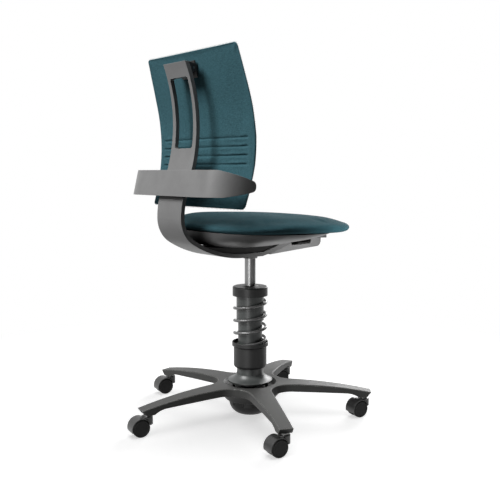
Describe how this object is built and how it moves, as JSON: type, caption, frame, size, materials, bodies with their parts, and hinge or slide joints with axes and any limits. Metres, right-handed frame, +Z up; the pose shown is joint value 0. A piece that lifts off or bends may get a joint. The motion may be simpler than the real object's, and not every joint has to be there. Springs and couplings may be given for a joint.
{
  "type": "office chair",
  "caption": "Active office chair: star base on twin-wheel casters, swinging sprung column with gas lift, round padded seat, bent band with slotted upright, yoke and curved padded back.",
  "frame": {"origin": "on the floor, under the column's axis", "axes": "+Z up along the column, -Y the way the sitter faces, +X to the sitter's left"},
  "size_m": [0.6081, 0.6245, 0.915],
  "materials": {
    "upholstery": "woven teal wool",
    "frame_grey": "satin dark grey coating",
    "base_grey": "satin anthracite coating",
    "column_grey": "satin anthracite coating",
    "black_plastic": "fine-grained black",
    "pan_plastic": "satin black moulding",
    "caster_plastic": "fine-grained black",
    "wheel_plastic": "smooth black disc and soft tread",
    "steel": "ground steel",
    "dark_steel": "dark grey coated wire",
    "bearing": "natural bearing plastic"
  },
  "bodies": {
    "base": {"star_base": "base_grey", "hub_pin_left": "steel", "hub_pin_right": "steel"},
    "adjuster": {"swing_adjuster": "black_plastic"},
    "swing_ring": {"swing_ring": "base_grey"},
    "column": {"column_foot": "column_grey", "foot_pin": "steel", "column_skirt": "column_grey", "column_neck": "column_grey", "spring_cup": "black_plastic", "guide_tube": "column_grey", "coil_spring": "dark_steel"},
    "sprung_column": {"column_cap": "black_plastic", "outer_sleeve": "column_grey", "slide_bush": "bearing", "gas_tube": "steel", "lift_bush": "bearing", "thrust_bearing": "bearing"},
    "piston": {"piston_rod": "steel", "retaining_clip": "steel"},
    "seat": {"gas_cylinder": "steel", "spine": "frame_grey", "seat_carrier": "frame_grey", "release_cover": "black_plastic", "yoke": "frame_grey", "yoke_spacer": "black_plastic", "head_block": "black_plastic", "seat_pan": "pan_plastic", "seat_cushion": "upholstery"},
    "lever": {"height_lever": "black_plastic"},
    "release_pin": {"release_pin": "steel"},
    "back": {"back_bracket": "black_plastic", "back_pin": "steel", "back_cover": "upholstery", "back_pad": "upholstery"},
    "caster_1": {"caster_1_hood": "caster_plastic", "caster_1_stem": "steel", "caster_1_axle": "steel"},
    "caster_1_wheel_left": {"caster_1_wheel_left": "wheel_plastic"},
    "caster_1_wheel_right": {"caster_1_wheel_right": "wheel_plastic"},
    "caster_2": {"caster_2_hood": "caster_plastic", "caster_2_stem": "steel", "caster_2_axle": "steel"},
    "caster_2_wheel_left": {"caster_2_wheel_left": "wheel_plastic"},
    "caster_2_wheel_right": {"caster_2_wheel_right": "wheel_plastic"},
    "caster_3": {"caster_3_hood": "caster_plastic", "caster_3_stem": "steel", "caster_3_axle": "steel"},
    "caster_3_wheel_left": {"caster_3_wheel_left": "wheel_plastic"},
    "caster_3_wheel_right": {"caster_3_wheel_right": "wheel_plastic"},
    "caster_4": {"caster_4_hood": "caster_plastic", "caster_4_stem": "steel", "caster_4_axle": "steel"},
    "caster_4_wheel_left": {"caster_4_wheel_left": "wheel_plastic"},
    "caster_4_wheel_right": {"caster_4_wheel_right": "wheel_plastic"},
    "caster_5": {"caster_5_hood": "caster_plastic", "caster_5_stem": "steel", "caster_5_axle": "steel"},
    "caster_5_wheel_left": {"caster_5_wheel_left": "wheel_plastic"},
    "caster_5_wheel_right": {"caster_5_wheel_right": "wheel_plastic"}
  },
  "joints": [
    {"name": "swing_adjust", "type": "hinge", "parent": "base", "child": "adjuster", "pos_m": [0, 0, 0.03], "axis": [0, 0, 1], "range_deg": [-120, 120]},
    {"name": "swing_fore_aft", "type": "hinge", "parent": "base", "child": "swing_ring", "pos_m": [0, 0, 0.068], "axis": [-0.9928, 0.1201, 0], "range_deg": [-8, 8], "stiffness_Nm_per_rad": 1500},
    {"name": "swing_sideways", "type": "hinge", "parent": "swing_ring", "child": "column", "pos_m": [0, 0, 0.068], "axis": [0.1201, 0.9928, 0], "range_deg": [-8, 8], "stiffness_Nm_per_rad": 1500},
    {"name": "bounce", "type": "slide", "parent": "column", "child": "sprung_column", "axis": [0, 0, 1], "range_m": [-0.04, 0], "stiffness_N_per_m": 20000, "springref_m": 0.03, "deforming": ["coil_spring"]},
    {"name": "swivel", "type": "hinge", "parent": "sprung_column", "child": "piston", "pos_m": [0, 0, 0.18], "axis": [0, 0, 1], "continuous": true},
    {"name": "height", "type": "slide", "parent": "piston", "child": "seat", "axis": [0, 0, 1], "range_m": [-0.065, 0.045]},
    {"name": "lever_lift", "type": "hinge", "parent": "seat", "child": "lever", "pos_m": [-0.016, 0, 0.45], "axis": [0, 1, 0], "range_deg": [0, 8], "stiffness_Nm_per_rad": 2, "springref_deg": -5.73},
    {"name": "pin_push", "type": "slide", "parent": "seat", "child": "release_pin", "axis": [0, 0, -1], "range_m": [0, 0.0023]},
    {"name": "back_rock", "type": "hinge", "parent": "seat", "child": "back", "pos_m": [0, 0.203, 0.872], "axis": [1, 0, 0], "range_deg": [-4, 4], "stiffness_Nm_per_rad": 80},
    {"name": "caster_1_swivel", "type": "hinge", "parent": "base", "child": "caster_1", "pos_m": [0.03568, 0.29485, 0.051], "axis": [0, 0, 1], "continuous": true},
    {"name": "caster_1_left_roll", "type": "hinge", "parent": "caster_1", "child": "caster_1_wheel_left", "pos_m": [0.03915, 0.31455, 0.02175], "axis": [-0.9848, 0.1736, 0], "continuous": true},
    {"name": "caster_1_right_roll", "type": "hinge", "parent": "caster_1", "child": "caster_1_wheel_right", "pos_m": [0.03915, 0.31455, 0.02175], "axis": [-0.9848, 0.1736, 0], "continuous": true},
    {"name": "caster_2_swivel", "type": "hinge", "parent": "base", "child": "caster_2", "pos_m": [-0.26939, 0.12505, 0.051], "axis": [0, 0, 1], "continuous": true},
    {"name": "caster_2_left_roll", "type": "hinge", "parent": "caster_2", "child": "caster_2_wheel_left", "pos_m": [-0.26592, 0.14474, 0.02175], "axis": [-0.9848, 0.1736, 0], "continuous": true},
    {"name": "caster_2_right_roll", "type": "hinge", "parent": "caster_2", "child": "caster_2_wheel_right", "pos_m": [-0.26592, 0.14474, 0.02175], "axis": [-0.9848, 0.1736, 0], "continuous": true},
    {"name": "caster_3_swivel", "type": "hinge", "parent": "base", "child": "caster_3", "pos_m": [-0.20217, -0.21757, 0.051], "axis": [0, 0, 1], "continuous": true},
    {"name": "caster_3_left_roll", "type": "hinge", "parent": "caster_3", "child": "caster_3_wheel_left", "pos_m": [-0.1987, -0.19787, 0.02175], "axis": [-0.9848, 0.1736, 0], "continuous": true},
    {"name": "caster_3_right_roll", "type": "hinge", "parent": "caster_3", "child": "caster_3_wheel_right", "pos_m": [-0.1987, -0.19787, 0.02175], "axis": [-0.9848, 0.1736, 0], "continuous": true},
    {"name": "caster_4_swivel", "type": "hinge", "parent": "base", "child": "caster_4", "pos_m": [0.14444, -0.25951, 0.051], "axis": [0, 0, 1], "continuous": true},
    {"name": "caster_4_left_roll", "type": "hinge", "parent": "caster_4", "child": "caster_4_wheel_left", "pos_m": [0.14791, -0.23981, 0.02175], "axis": [-0.9848, 0.1736, 0], "continuous": true},
    {"name": "caster_4_right_roll", "type": "hinge", "parent": "caster_4", "child": "caster_4_wheel_right", "pos_m": [0.14791, -0.23981, 0.02175], "axis": [-0.9848, 0.1736, 0], "continuous": true},
    {"name": "caster_5_swivel", "type": "hinge", "parent": "base", "child": "caster_5", "pos_m": [0.29144, 0.05718, 0.051], "axis": [0, 0, 1], "continuous": true},
    {"name": "caster_5_left_roll", "type": "hinge", "parent": "caster_5", "child": "caster_5_wheel_left", "pos_m": [0.29492, 0.07687, 0.02175], "axis": [-0.9848, 0.1736, 0], "continuous": true},
    {"name": "caster_5_right_roll", "type": "hinge", "parent": "caster_5", "child": "caster_5_wheel_right", "pos_m": [0.29492, 0.07687, 0.02175], "axis": [-0.9848, 0.1736, 0], "continuous": true}
  ],
  "couplings": [
    {"joint": "pin_push", "follows": "lever_lift", "m_per_rad": 0.016}
  ]
}
